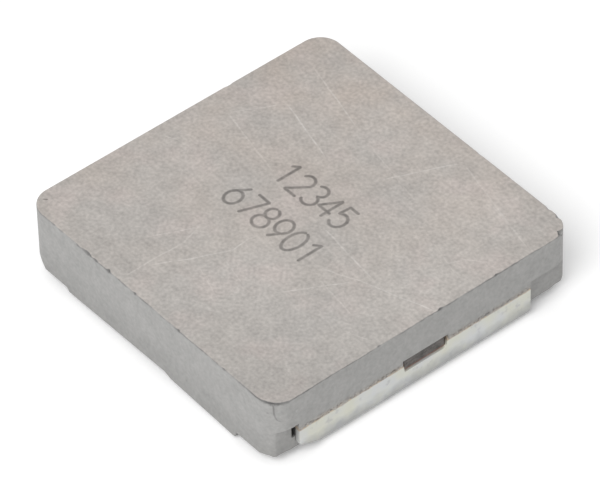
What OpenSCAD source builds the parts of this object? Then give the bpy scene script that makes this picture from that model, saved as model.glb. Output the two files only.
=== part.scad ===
// Shielded surface-mount inductor: a coil of flat wire sealed in a pressed iron-powder core,
// with two folded lead-frame terminals that come out of opposite faces and wrap under the core.
//
// Millimetres. Z is up and z = 0 is the board under the feet. The core is centred on X and Y,
// and the terminals stand on its +X and -X faces.

/* [Pressed core] */
// Width across the two faces that carry the terminals
core_w = 17.15; // [16.4:0.05:20]
// Depth along the terminals
core_d = 17.15; // [16.4:0.05:20]
// Height from the channels over the feet up to the top face
core_h = 3.42; // [3.2:0.02:5]
// Radius of the four upright corners
corner_r = 1.1; // [0.4:0.05:2]
// Height of the full-width band, down from the top face
band_h = 1.73; // [1.3:0.01:1.9]
// Height over which the face slopes in below the band
band_slope = 0.12; // [0.04:0.01:0.3]
// Chamfer along the lower edge of each terminal face
low_chamfer = 0.15; // [0.1:0.01:0.3]

/* [Underside] */
// How far the land between the feet stands below the channels
land_drop = 0.28; // [0.1:0.01:0.4]
// Space between the land and the inner end of each foot
land_gap = 0.24; // [0.15:0.01:0.6]
// Run of the land's sloped ends
land_run = 0.15; // [0.05:0.01:0.2]
// Thickness of the worn strip along the land's front edge
worn_t = 0.7; // [0.3:0.05:2]
// How far the worn strip stands down at its left end
worn_left = 0.18; // [0.05:0.01:0.4]
// How far it stands down where it is worn most
worn_mid = 0.02; // [0.01:0.01:0.1]
// How far it stands down just past the break
worn_break = 0.17; // [0.05:0.01:0.4]
// How far it stands down at its right end
worn_right = 0.34; // [0.05:0.01:0.4]
// Where the break starts, to the right of the middle
break_x = 0.95; // [-2:0.05:3]
// Width of the break
break_w = 0.45; // [0.1:0.05:1]

/* [Terminals] */
// Thickness of the tinned copper sheet
sheet_t = 0.25; // [0.15:0.01:0.3]
// Height of the lead plate's upper face above the board
lead_top = 1.98; // [1.84:0.02:2.1]
// Depth of the lead plate, in from the terminal's outer face
lead_in = 1.28; // [0.9:0.02:1.5]
// Inner radius of the bend where the lead turns down
top_bend = 0.1; // [0.05:0.01:0.2]
// Inner radius of the bend where the leg turns under the core
low_bend = 0.35; // [0.2:0.01:0.45]
// Length of the foot, in from the terminal's outer face
foot_len = 2.54; // [1.6:0.02:3.2]
// Width of the foot
foot_w = 11.94; // [9:0.02:12.4]
// How far the foot is off the middle of its face
foot_shift = 0.12; // [0:0.02:0.3]
// How far the leg's wing reaches past the foot, at one end
wing = 1.31; // [0.9:0.01:1.6]
// Height of the wing's lower edge above the board, where it meets the foot
wing_low = 0.33; // [0.26:0.01:0.6]
// Height of the wing's round lower corner above the board
wing_z = 0.81; // [0.6:0.01:1.1]
// Radius of that corner
wing_r = 0.12; // [0.05:0.01:0.3]

/* [Winding] */
// Width of the flat wire
wire_w = 2.3; // [1.6:0.05:2.6]
// Thickness of the flat wire
wire_t = 0.32; // [0.2:0.01:0.34]
// Whole turns, besides the half turn between the two ends
turns = 5; // [2:1:6]
// Gap between the turns
turn_gap = 0.05; // [0.04:0.01:0.07]
// Diameter of the hole in the coil
coil_id = 5.6; // [4.6:0.1:6.2]
// Radius of the bend that turns each end outwards
tail_r = 1.8; // [1.7:0.05:2.2]

/* [Fits] */
// Gap between the core's set-in face and the leg
leg_gap = 0.05; // [0.02:0.01:0.15]
// Gap between the foot and the roof of its channel
foot_gap = 0.23; // [0.1:0.01:0.3]
// Gap between the powder and the lead plate
lead_gap = 0.02; // [0.01:0.005:0.03]
// Gap between the powder and the enamelled wire
enamel_gap = 0.03; // [0.02:0.005:0.04]
// Gap between the wire's end and the lead plate it is welded to
weld_gap = 0.01; // [0:0.005:0.02]
// How far the wire's end and the tongue stay behind the terminal's face
end_back = 0.1; // [0.02:0.01:0.15]
// Gap around the wire's end at the bottom of the leg's notch
notch_gap = 0.04; // [0.02:0.01:0.1]
// How much further the notch opens on each side at its top
notch_flare = 0.11; // [0:0.01:0.2]
// Gap between the tongue and the powder above it
mouth_gap = 0.09; // [0.03:0.01:0.15]
// Width of the gap broken out of the powder beside the wing
pocket_w = 0.2; // [0.1:0.01:0.4]
// Depth of that gap behind the set-in face
pocket_depth = 0.35; // [0.1:0.05:0.8]

/* [Smoothness] */
// Segments in each turn of the wire
wire_steps = 40; // [24:4:48]
// Segments in each bend of the wire's ends
tail_steps = 12; // [8:1:16]

/* [Hidden] */
$fn = 96;
// Overrun of a cut past the face that it opens
over = 1;
// Overlap of two shapes that are joined
joint = 0.2;

half_w = core_w / 2;
half_d = core_d / 2;
face_recess = sheet_t + leg_gap;
channel_z = sheet_t + foot_gap;
top_z = channel_z + core_h;
band_z = top_z - band_h;
land_x = half_w - foot_len - land_gap;

// Folded sheet
top_r = top_bend + sheet_t;
low_r = low_bend + sheet_t;
top_bend_x = half_w - top_r;
top_bend_z = lead_top - top_r;
low_bend_x = half_w - low_r;
lead_x = half_w - lead_in;
foot_x = half_w - foot_len;
foot_y0 = foot_shift - foot_w / 2;
foot_y1 = foot_shift + foot_w / 2;
leg_y0 = foot_y0 - wing;

// Flat wire
coil_r = (coil_id + wire_w) / 2;
pitch = wire_t + turn_gap;
tail_x = sqrt(pow(coil_r + tail_r, 2) - pow(tail_r, 2));
leave_a = atan2(tail_r, tail_x);
wound_a = 360 * turns + 180 - 2 * leave_a;
coil_rise = pitch * wound_a / 360;
coil_z = (channel_z + top_z) / 2;
coil_top = coil_z + coil_rise / 2;
coil_low = coil_z - coil_rise / 2;
tail_z = lead_top - sheet_t - weld_gap - wire_t / 2;
drop_x = lead_x - end_back;
end_x = half_w - end_back;
notch_z = tail_z - wire_t / 2 - notch_gap;

// ---- helpers

// Square with round corners, drawn from the middle
module rounded_square(w, d, r) {
    square([w - 2 * r, d], center = true);
    square([w, d - 2 * r], center = true);
    for (x = [-1, 1], y = [-1, 1])
        translate([x * (w / 2 - r), y * (d / 2 - r)]) circle(r);
}

// A section drawn in X and Z, pushed along Y from y0 to y1
module along_y(y0, y1) {
    translate([0, y1, 0]) rotate([90, 0, 0]) linear_extrude(y1 - y0) children();
}

// An outline drawn in Y and Z, pushed along X from x0 to x1
module along_x(x0, x1) {
    translate([x0, 0, 0]) rotate([90, 0, 90]) linear_extrude(x1 - x0) children();
}

// The same feature on the +X face and, turned half round, on the -X face
module both_faces() {
    for (a = [0, 180]) rotate([0, 0, a]) children();
}

// Quarter of a bent strip, in the quadrant of +X and +Y
module quarter_bend(inner) {
    intersection() {
        difference() {
            circle(inner + sheet_t);
            circle(inner);
        }
        square(inner + 2 * sheet_t);
    }
}

// ---- pressed core

// Section across the terminals: full-width band, faces set in below it, chamfered foot
module core_section() {
    set_in = half_w - face_recess;
    side = [
        [half_w, top_z],
        [half_w, band_z],
        [set_in, band_z - band_slope],
        [set_in, channel_z + low_chamfer],
        [set_in - low_chamfer, channel_z]
    ];
    other = [for (i = [len(side) - 1 : -1 : 0]) [-side[i].x, side[i].y]];
    polygon(concat(side, other));
}

module core_blank() {
    intersection() {
        linear_extrude(top_z + over) rounded_square(core_w, core_d, corner_r);
        along_y(-core_d, core_d) core_section();
    }
}

// Powder that fills the mould above the lead's bend, out to the full face
module lead_lip() {
    translate([half_w - face_recess - joint, leg_y0, top_bend_z])
        cube([face_recess + joint, foot_y1 - leg_y0, band_z + joint - top_bend_z]);
}

// Raised land between the feet, with its worn front edge
module land() {
    root = channel_z + joint;
    end = land_x + land_run;
    along_y(-half_d + worn_t, half_d)
        polygon([
            [-end, root],
            [-end, channel_z],
            [-land_x, channel_z - land_drop],
            [land_x, channel_z - land_drop],
            [end, channel_z],
            [end, root]
        ]);
    along_y(-half_d, -half_d + worn_t)
        polygon([
            [-end, root],
            [-end, channel_z],
            [-land_x, channel_z - worn_left],
            [break_x, channel_z - worn_mid],
            [break_x + break_w, channel_z - worn_break],
            [land_x, channel_z - worn_right],
            [end, channel_z],
            [end, root]
        ]);
}

// Room in the powder for the lead plate and the outside of its bend
module lead_room() {
    along_y(leg_y0 - lead_gap, foot_y1 + lead_gap) {
        translate([lead_x - lead_gap, lead_top - sheet_t - lead_gap])
            square([top_bend_x - lead_x + 2 * lead_gap, sheet_t + 2 * lead_gap]);
        translate([top_bend_x, top_bend_z])
            intersection() {
                circle(top_r + lead_gap);
                square(2 * top_r);
            }
    }
}

// Opening in the lip where the wire's end and the tongue show
module mouth() {
    half = notch_half(lead_top);
    translate([top_bend_x - lead_gap, -half, notch_z])
        cube([top_r + over, 2 * half, lead_top + mouth_gap - notch_z]);
}

// Gap broken out of the powder beside the wing
module side_pocket() {
    translate([half_w - face_recess - pocket_depth, leg_y0 - pocket_w, top_bend_z - top_r])
        cube([face_recess + pocket_depth + over, pocket_w, 2 * top_r]);
}

// Ring-shaped room for the turns
module coil_room() {
    low = coil_low - wire_t / 2 - enamel_gap;
    rotate_extrude()
        translate([coil_id / 2 - enamel_gap, low])
            square([wire_w + 2 * enamel_gap, coil_rise + wire_t + 2 * enamel_gap]);
}

// Room for one end of the wire, from the turns at height z out through the +X face
module tail_room(z) {
    half = wire_t / 2 + enamel_gap;
    side = [for (i = [0 : tail_steps]) half * drop_normal(z, i / tail_steps)];
    upper = [for (i = [0 : tail_steps]) drop_point(z, i / tail_steps) + side[i]];
    lower = [for (i = [tail_steps : -1 : 0]) drop_point(z, i / tail_steps) - side[i]];
    along_y(-wire_w / 2 - enamel_gap, wire_w / 2 + enamel_gap)
        polygon(concat(
            [[tail_x - joint, z + half]],
            upper,
            [[half_w + over, tail_z + half], [half_w + over, tail_z - half]],
            lower,
            [[tail_x - joint, z - half]]
        ));
    translate([tail_x, -tail_r, 0])
        rotate([0, 0, 90])
            rotate_extrude(angle = 90 - leave_a)
                translate([tail_r - wire_w / 2 - enamel_gap, z - half])
                    square([wire_w + 2 * enamel_gap, 2 * half]);
}

module powder_core() {
    color("#a9a7a2")
    difference() {
        union() {
            core_blank();
            both_faces() lead_lip();
            land();
        }
        both_faces() lead_room();
        both_faces() mouth();
        side_pocket();
        coil_room();
        tail_room(coil_top);
        mirror([1, 0, 0]) tail_room(coil_low);
    }
}

// ---- winding

// X and Z of a wire end on its way from the turns at height z to the lead plate, u from 0 to 1
function drop_point(z, u) = [
    tail_x + (drop_x - tail_x) * u,
    z + (tail_z - z) * u * u * (3 - 2 * u)
];

// Unit normal of that stretch, on its upper side
function drop_normal(z, u) =
    let (slope = (tail_z - z) / (drop_x - tail_x) * 6 * u * (1 - u))
    [-slope, 1] / norm([-slope, 1]);

// One end of the wire, from where it leaves the turns at height z to its cut on the +X side
function tail_path(z) = concat(
    [
        for (i = [1 : tail_steps])
            let (a = 180 - leave_a - (90 - leave_a) * i / tail_steps)
            [tail_x + tail_r * cos(a), -tail_r + tail_r * sin(a), z]
    ],
    [for (i = [1 : tail_steps]) let (p = drop_point(z, i / tail_steps)) [p.x, 0, p.y]],
    [[end_x, 0, tail_z]]
);

// The turns, rising anticlockwise
function turns_path() =
    let (n = round(wire_steps * wound_a / 360))
    [
        for (i = [0 : n])
            let (a = 180 + leave_a + wound_a * i / n)
            [coil_r * cos(a), coil_r * sin(a), coil_low + coil_rise * i / n]
    ];

function reversed(list) = [for (i = [len(list) - 1 : -1 : 0]) list[i]];

function wire_path() = concat(
    reversed([for (p = tail_path(coil_low)) [-p.x, p.y, p.z]]),
    turns_path(),
    tail_path(coil_top)
);

// Four corners of the flat wire at point i of its path, its width held level
function wire_corners(path, i) =
    let (
        a = path[max(i - 1, 0)],
        b = path[min(i + 1, len(path) - 1)],
        along = (b - a) / norm(b - a),
        level = cross([0, 0, 1], along),
        across = level / norm(level) * wire_w / 2,
        up = cross(along, level) / norm(cross(along, level)) * wire_t / 2
    )
    [path[i] + across + up, path[i] - across + up, path[i] - across - up, path[i] + across - up];

module coil_winding() {
    path = wire_path();
    last = len(path) - 1;
    corners = [for (i = [0 : last]) each wire_corners(path, i)];
    walls = [
        for (i = [0 : last - 1], k = [0 : 3])
            let (
                a = 4 * i + k,
                b = 4 * i + (k + 1) % 4
            )
            each [[a, b, b + 4], [a, b + 4, a + 4]]
    ];
    far = 4 * last;
    ends = [[2, 1, 0], [3, 2, 0], [far, far + 1, far + 2], [far, far + 2, far + 3]];
    color("#b06a45") polyhedron(corners, concat(walls, ends));
}

// ---- terminals

// Half width of the leg's notch at height z
function notch_half(z) =
    wire_w / 2 + notch_gap + notch_flare * (z - notch_z) / (lead_top - notch_z);

// Lead plate, top bend, leg, low bend and foot, as one bent strip in X and Z
module strip_section() {
    translate([lead_x, lead_top - sheet_t]) square([top_bend_x - lead_x, sheet_t]);
    translate([top_bend_x, top_bend_z]) quarter_bend(top_bend);
    translate([half_w - sheet_t, low_r]) square([sheet_t, top_bend_z - low_r]);
    translate([low_bend_x, low_r]) mirror([0, 1]) quarter_bend(low_bend);
    translate([foot_x, 0]) square([low_bend_x - foot_x, sheet_t]);
}

// Where the wing's sloped lower edge meets its round corner, in Y and Z
function wing_tangent() =
    let (
        away = [leg_y0 + wing_r - foot_y0, wing_z + wing_r - wing_low],
        reach = sqrt(away * away - wing_r * wing_r),
        angle = atan2(away.y, away.x) + asin(wing_r / norm(away))
    )
    [foot_y0 + reach * cos(angle), wing_low + reach * sin(angle)];

// The strip seen from its outer face: foot, and the wing with its sloped lower edge
module leg_outline() {
    corner = [leg_y0 + wing_r, wing_z + wing_r];
    translate([foot_y0, 0]) square([foot_w, lead_top]);
    translate(corner) circle(wing_r);
    polygon([
        [foot_y0 + joint, wing_low],
        [foot_y0 + joint, lead_top],
        [leg_y0, lead_top],
        [leg_y0, corner.y],
        corner,
        wing_tangent(),
        [foot_y0, wing_low]
    ]);
}

// Notch in the leg for the wire's end, drawn in Y and Z
module notch_outline() {
    low = notch_half(notch_z);
    high = notch_half(lead_top);
    polygon([[-low, notch_z], [low, notch_z], [high, lead_top], [high, lead_top + over],
        [-high, lead_top + over], [-high, lead_top]]);
}

module terminal() {
    color("#d4d6cf") {
        difference() {
            intersection() {
                along_y(leg_y0, foot_y1) strip_section();
                along_x(0, half_w + over) leg_outline();
            }
            along_x(top_bend_x, half_w + over) notch_outline();
        }
        translate([top_bend_x - joint, -wire_w / 2, lead_top - sheet_t])
            cube([end_x - top_bend_x + joint, wire_w, sheet_t]);
    }
}

module terminal_right() {
    terminal();
}

module terminal_left() {
    rotate([0, 0, 180]) terminal();
}

powder_core();
coil_winding();
terminal_right();
terminal_left();
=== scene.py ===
import math

import bmesh
import bpy
import numpy as np
from mathutils import Matrix, Vector
from mathutils.geometry import delaunay_2d_cdt
from mathutils.noise import noise


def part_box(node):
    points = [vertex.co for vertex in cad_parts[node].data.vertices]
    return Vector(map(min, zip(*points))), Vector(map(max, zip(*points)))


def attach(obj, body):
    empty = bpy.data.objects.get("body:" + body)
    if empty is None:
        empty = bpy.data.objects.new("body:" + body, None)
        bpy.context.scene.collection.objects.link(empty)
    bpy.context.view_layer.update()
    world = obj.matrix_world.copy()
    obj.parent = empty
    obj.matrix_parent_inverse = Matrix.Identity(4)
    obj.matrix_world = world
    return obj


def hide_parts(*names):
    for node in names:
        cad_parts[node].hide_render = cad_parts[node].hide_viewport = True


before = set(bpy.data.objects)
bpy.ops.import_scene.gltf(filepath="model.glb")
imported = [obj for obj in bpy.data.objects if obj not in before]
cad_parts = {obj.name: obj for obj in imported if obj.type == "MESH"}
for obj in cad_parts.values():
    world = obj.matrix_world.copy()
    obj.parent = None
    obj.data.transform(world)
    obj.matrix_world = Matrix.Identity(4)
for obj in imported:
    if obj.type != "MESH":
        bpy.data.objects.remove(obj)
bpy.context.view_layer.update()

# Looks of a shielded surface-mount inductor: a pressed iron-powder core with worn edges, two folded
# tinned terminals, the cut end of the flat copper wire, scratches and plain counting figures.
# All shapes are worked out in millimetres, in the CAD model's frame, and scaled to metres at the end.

MM = 0.001


def node_box(node):
    """Lowest and highest corner of a CAD node, in millimetres."""
    low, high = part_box(node)
    return np.array(low) / MM, np.array(high) / MM


# ---- sizes, in millimetres

CORE_LOW, CORE_HIGH = node_box("powder_core")
TIN_LOW, TIN_HIGH = node_box("terminal_right")
COIL_LOW, COIL_HIGH = node_box("coil_winding")

# Pressed core
HALF_W = CORE_HIGH[0]
HALF_D = CORE_HIGH[1]
TOP_Z = CORE_HIGH[2]
CORNER_R = 1.1
BAND_Z = TOP_Z - 1.73
SLOPE_Z = BAND_Z - 0.12
SET_IN = HALF_W - 0.30
CHANNEL_Z = TOP_Z - 3.42
LOW_CHAMFER = 0.15
LAND_X = 5.795
LAND_RUN = 0.15
LAND_DROP = 0.28
WORN_T = 0.7
# Where the land's worn front strip changes, and how far it stands down there
WORN_X = (-LAND_X, 0.95, 1.40, LAND_X)
WORN_DROP = (0.18, 0.02, 0.17, 0.34)

# Terminal, as seen on the +X face
SHEET_T = 0.25
LEAD_TOP = TIN_HIGH[2]
LEG_Y0 = TIN_LOW[1]
LEG_Y1 = TIN_HIGH[1]
FOOT_X = TIN_LOW[0]
LEAD_X = HALF_W - 1.28
FOOT_Y0 = LEG_Y0 + 1.31
TOP_BEND_R = 0.35
LOW_BEND_R = 0.60
TOP_BEND_X = HALF_W - TOP_BEND_R
TOP_BEND_Z = LEAD_TOP - TOP_BEND_R
LOW_BEND_X = HALF_W - LOW_BEND_R
WING_LOW = 0.33
WING_Z = 0.81
WING_R = 0.12
NOTCH_Z = 1.36
NOTCH_LOW = 1.19
NOTCH_HIGH = 1.30
NOTCH_ROUND = 0.18
TONGUE_HALF = 1.15
END_X = COIL_HIGH[0]
TIN_EDGE_R = 0.035

# Powder above the leads and beside them: rows on the set-in face and the openings
SIDE_LOW_Z = 1.26
POCKET_TOP = 1.98
LEAD_GAP = 0.02
MOUTH_TOP = LEAD_TOP + 0.09
POCKET_W = 0.19
POCKET_DEPTH = 0.35
# Painted shade: the tone that darkens the pocket's walls beside the lead
POCKET_SHADE_TONE = -0.78
FEATHER_Z = 1.74

# Rounding of the lower end of the upright corners: depth, height and the chamfer's extra drop
LOW_ROUND = 0.14
LOW_ROUND_HEIGHT = 0.60
FRONT_CHAMFER = 0.10

# Mesh spacing
ALONG = 0.07
CORNER_STEPS = 26
# Half the distance between the two columns that stand where the face has a step
SEAM = 0.003


# ---- noise

def ragged(s, length, step, seed):
    """Smooth noise from -1 to 1 along a closed line of that length, with a bump every step."""
    count = max(int(round(length / step)), 3)
    heights = np.random.default_rng(seed).uniform(-1, 1, count)
    t = np.asarray(s) / length * count % count
    i = np.floor(t).astype(int)
    f = t - i
    f = f * f * (3 - 2 * f)
    return heights[i % count] * (1 - f) + heights[(i + 1) % count] * f


def crumbly(place, size, seed):
    """Noise from about -1 to 1 at a point in space, with lumps of about that size."""
    return noise(Vector(place) / size + Vector((seed, -seed, 0.5 * seed)))


# ---- meshes

def make_piece(name, points, faces, material, slot, tone=None, sharp_deg=38):
    """Smooth-shaded mesh in metres from points in millimetres; tone is a lightness change per point."""
    mesh = bpy.data.meshes.new(name)
    mesh.from_pydata([tuple(p) for p in np.asarray(points, float) * MM], [], faces)
    mesh.validate()
    if tone is not None:
        layer = mesh.attributes.new("tone", "FLOAT", "POINT")
        layer.data.foreach_set("value", np.asarray(tone, np.float32))
    mesh.polygons.foreach_set("use_smooth", [True] * len(mesh.polygons))
    mesh.set_sharp_from_angle(angle=math.radians(sharp_deg))
    mesh.materials.append(material)
    piece = bpy.data.objects.new(name, mesh)
    bpy.context.scene.collection.objects.link(piece)
    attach(piece, "root")
    return piece


def ring_quads(start, other, count, closed=True):
    """Quads between two rows of points that start at those indices."""
    last = count if closed else count - 1
    return [
        (start + i, start + (i + 1) % count, other + (i + 1) % count, other + i)
        for i in range(last)
    ]


# ---- pressed core

def places_along(low, high, breaks):
    """Places from low to high, with a close pair at each break."""
    count = int(round((high - low) / ALONG)) + 1
    even = np.linspace(low, high, count)
    kept = [p for p in even if all(abs(p - b) > 0.4 * ALONG for b in breaks)]
    pairs = [b + side * SEAM for b in breaks for side in (-1, 1)]
    return sorted(kept + pairs)


def face_run(direction, breaks):
    """Columns along one face, anticlockwise: x, y and the outward normal of each."""
    straight = HALF_W - CORNER_R
    turn = Matrix.Rotation(direction, 2)
    columns = []
    for place in places_along(-straight, straight, breaks):
        x, y = turn @ Vector((HALF_W, place))
        nx, ny = turn @ Vector((1, 0))
        columns.append((x, y, nx, ny))
    return columns


def corner_run(direction):
    """Columns round the corner that follows a face, without the two that end its neighbours."""
    straight = HALF_W - CORNER_R
    centre = Matrix.Rotation(direction, 2) @ Vector((straight, straight))
    columns = []
    for i in range(1, CORNER_STEPS):
        angle = direction + math.pi / 2 * i / CORNER_STEPS
        nx, ny = math.cos(angle), math.sin(angle)
        columns.append((centre.x + CORNER_R * nx, centre.y + CORNER_R * ny, nx, ny))
    return columns


def core_columns():
    """All columns round the core, from the lower end of the +X face."""
    lead = [LEG_Y0, -NOTCH_HIGH, NOTCH_HIGH, LEG_Y1]
    land = [-LAND_X - LAND_RUN, -LAND_X, LAND_X, LAND_X + LAND_RUN]
    worn = land + [WORN_X[1], WORN_X[2]]
    breaks = (lead + [LEG_Y0 - POCKET_W], land, lead, worn)
    columns = []
    for side in range(4):
        direction = side * math.pi / 2
        columns += face_run(direction, breaks[side])
        columns += corner_run(direction)
    return np.array(columns)


def column_kind(x, y, nx):
    """What a column of the core passes: the lip over the lead, its mouth, the pocket or nothing."""
    if abs(nx) < 0.999:
        return "plain"
    place = y * np.sign(x)
    if abs(place) < NOTCH_HIGH:
        return "mouth"
    if LEG_Y0 < place < LEG_Y1:
        return "lip"
    if x > 0 and LEG_Y0 - POCKET_W < place < LEG_Y0:
        return "pocket"
    return "plain"


def stretch(a, b, count):
    """Points from a to b, without a."""
    return [np.array(a) + (np.array(b) - np.array(a)) * i / count for i in range(1, count + 1)]


def bend_under_lip(count):
    """The lip's underside, which follows the outside of the lead's bend."""
    radius = TOP_BEND_R + LEAD_GAP
    start = math.acos(min((HALF_W - TOP_BEND_X) / radius, 1))
    angles = [start + (math.pi / 2 - start) * i / count for i in range(1, count + 1)]
    return [
        np.array((TOP_BEND_X + radius * math.cos(a), TOP_BEND_Z + radius * math.sin(a)))
        for a in angles
    ]


def core_profile(kind):
    """Section of the core's side below its top edge: how far out and how high, from the top down."""
    band_top = (HALF_W, TOP_Z - 0.16)
    band_low = (HALF_W, BAND_Z)
    roof = LEAD_TOP + LEAD_GAP
    plate_low = LEAD_TOP - SHEET_T - LEAD_GAP
    inside = LEAD_X - LEAD_GAP
    back = SET_IN - POCKET_DEPTH
    low_z = TOP_BEND_Z - TOP_BEND_R
    turns = {
        "plain": [(SET_IN, SLOPE_Z), (SET_IN, POCKET_TOP), (SET_IN, 1.88), (SET_IN, 1.78),
                  (SET_IN, SIDE_LOW_Z)],
        "lip": [(HALF_W, FEATHER_Z), None, (inside, roof), (inside, plate_low), (SET_IN, plate_low)],
        "mouth": [(HALF_W, MOUTH_TOP), (TOP_BEND_X, MOUTH_TOP), (inside, roof), (inside, NOTCH_Z),
                  (SET_IN, NOTCH_Z)],
        "pocket": [(SET_IN, SLOPE_Z), (SET_IN, POCKET_TOP), (back, POCKET_TOP), (back, low_z),
                   (SET_IN, low_z)],
    }
    counts = (14, 6, 4, 4, 4)
    points = [np.array(band_top)] + stretch(band_top, band_low, 16)
    for target, count in zip(turns[kind], counts):
        if target is None:
            points += bend_under_lip(count)
        else:
            points += stretch(points[-1], target, count)
    points += stretch(points[-1], (SET_IN, CHANNEL_Z + LOW_CHAMFER), 10)
    points += stretch(points[-1], (SET_IN - LOW_CHAMFER, CHANNEL_Z), 2)
    return np.array(points)


def under_z(x, y):
    """Height of the underside: the channels, the land between the feet and its worn front strip."""
    x = np.asarray(x, float)
    worn = np.interp(x, WORN_X, WORN_DROP)
    drop = np.where(np.asarray(y) < -HALF_D + WORN_T, worn, LAND_DROP)
    share = np.clip((LAND_X + LAND_RUN - np.abs(x)) / LAND_RUN, 0, 1)
    return CHANNEL_Z - drop * share


# Chips in the top edge: x, y, half length, how much further in and how much deeper they reach
EDGE_CHIPS = (
    (-6.61, -8.57, 0.10, 0.03, 0.02),
    (-4.30, -8.57, 0.32, 0.09, 0.05),
    (-3.65, -8.57, 0.14, 0.04, 0.04),
    (-2.76, -8.57, 0.12, 0.08, 0.05),
    (-0.90, -8.57, 0.10, 0.04, 0.03),
    (2.10, -8.57, 0.09, 0.05, 0.02),
    (5.20, -8.57, 0.10, 0.05, 0.03),
    (8.05, -8.38, 0.50, 0.05, 0.08),
    (8.50, -7.85, 0.30, 0.03, 0.06),
    (8.57, -2.60, 0.12, 0.06, 0.03),
    (8.57, 0.90, 0.16, 0.08, 0.05),
    (8.57, 4.10, 0.10, 0.05, 0.03),
    (8.40, 7.95, 0.20, 0.22, 0.10),
    (7.60, 8.52, 0.16, 0.16, 0.08),
    (6.95, 8.57, 0.12, 0.07, 0.05),
    (2.30, 8.57, 0.15, 0.05, 0.03),
    (-8.57, 3.00, 0.20, 0.06, 0.04),
)


def edge_wear_and_shade(columns, s, length):
    """How far in the top edge is worn, how deep its groove is and how dark its painted shade is; crisp
    at the back.
    """
    inset = 0.022 + 0.012 * ragged(s, length, 0.9, 3) + 0.010 * ragged(s, length, 0.16, 4)
    depth = 0.045 + 0.018 * ragged(s, length, 0.7, 5) + 0.012 * ragged(s, length, 0.14, 6)
    dark = 0.50 + 0.22 * ragged(s, length, 1.6, 7) + 0.25 * ragged(s, length, 0.22, 8)
    back = np.clip(3 * (columns[:, 1] / HALF_D - columns[:, 0] / HALF_W) + 0.6, 0, 1)
    inset *= 1 - 0.85 * back
    depth *= 1 - 0.85 * back
    for x, y, reach, further, deeper in EDGE_CHIPS:
        away = np.hypot(columns[:, 0] - x, columns[:, 1] - y) / reach
        share = np.clip(1.3 - away, 0, 1) * (0.75 + 0.25 * ragged(s, length, 0.1, 9))
        inset += further * share
        depth += deeper * share
        # Chips get deeper painted shade in the groove as well
        dark += 0.35 * share
    return np.maximum(inset, 0.006), np.maximum(depth, 0.012), np.clip(dark, 0.1, 1)


def top_edge_rings(columns, s, length):
    """Rings of points and tones over the rim of the top face and down into its ragged groove; the tones
    paint a faint highlight on the rim's crest and shade down in the groove.
    """
    inset, depth, dark = edge_wear_and_shade(columns, s, length)
    rim = 0.5 + 0.5 * ragged(s, length, 0.3, 11)
    shape = (
        (0.55 + 0 * inset, 0 * inset, 0 * dark),
        (inset + 0.11, 0 * inset, 0 * dark),
        (inset + 0.045, 0.003 * rim, 0.05 * rim),
        (inset + 0.012, -0.004 + 0 * inset, -0.10 * dark),
        (inset, -0.35 * depth, -0.62 * dark),
        (0.7 * inset + 0.004, -depth, -0.70 * dark),
        (0.25 * inset, -1.25 * depth, -0.42 * dark),
        (0 * inset, -1.45 * depth - 0.01, -0.10 * dark),
    )
    rings = []
    for into, rise, tone in shape:
        x = columns[:, 0] - columns[:, 2] * into
        y = columns[:, 1] - columns[:, 3] * into
        tone = tone + top_shade(x, y) * (rise > -0.5 * depth)
        rings.append((np.stack([x, y, TOP_Z + rise], 1), tone))
    return rings


def lip_roughness(points, tones, kinds):
    """Crumbly powder where it was squeezed out over the lead, thicker towards its feather edge, with
    painted highlight on its lumps and painted shade between them.
    """
    for i, kind in enumerate(kinds):
        x, y, z = points[i]
        reach = np.clip((1.99 - z) / 0.12, 0, 1)
        if kind != "lip" or reach == 0 or abs(x) < HALF_W - 0.02:
            continue
        lumps = crumbly((x, y, z), 0.10, 2.0) + 0.6 * crumbly((x, y, z), 0.045, 5.0)
        points[i][0] += np.sign(x) * 0.05 * reach * np.clip(lumps, -0.7, 0.8)
        # Painted light: lighter where the lumps stand out, darker in the hollows between them
        tones[i] = reach * np.clip(0.55 * lumps - 0.06, -0.5, 0.22)


def lower_edge_wear(columns, points, ring):
    """Rounds the upright corners' lower ends; ring counts back from the last one, which is -1."""
    diagonal = np.clip(2 * np.abs(columns[:, 2] * columns[:, 3]), 0, 1) ** 0.7
    low = np.clip((CHANNEL_Z + LOW_ROUND_HEIGHT - points[:, 2]) / LOW_ROUND_HEIGHT, 0, 1) ** 2
    pull = LOW_ROUND * diagonal * low
    points[:, 0] -= columns[:, 2] * pull
    points[:, 1] -= columns[:, 3] * pull
    front_x = (columns[:, 2] > 0.5) & (columns[:, 1] < LEG_Y0 + 0.5)
    if ring == -3:
        points[:, 2] -= np.where(front_x, FRONT_CHAMFER, 0)
    if ring == -1:
        points[:, 0] += np.where(front_x, FRONT_CHAMFER, 0)
        points[:, 1] -= columns[:, 3] * 0.03


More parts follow.
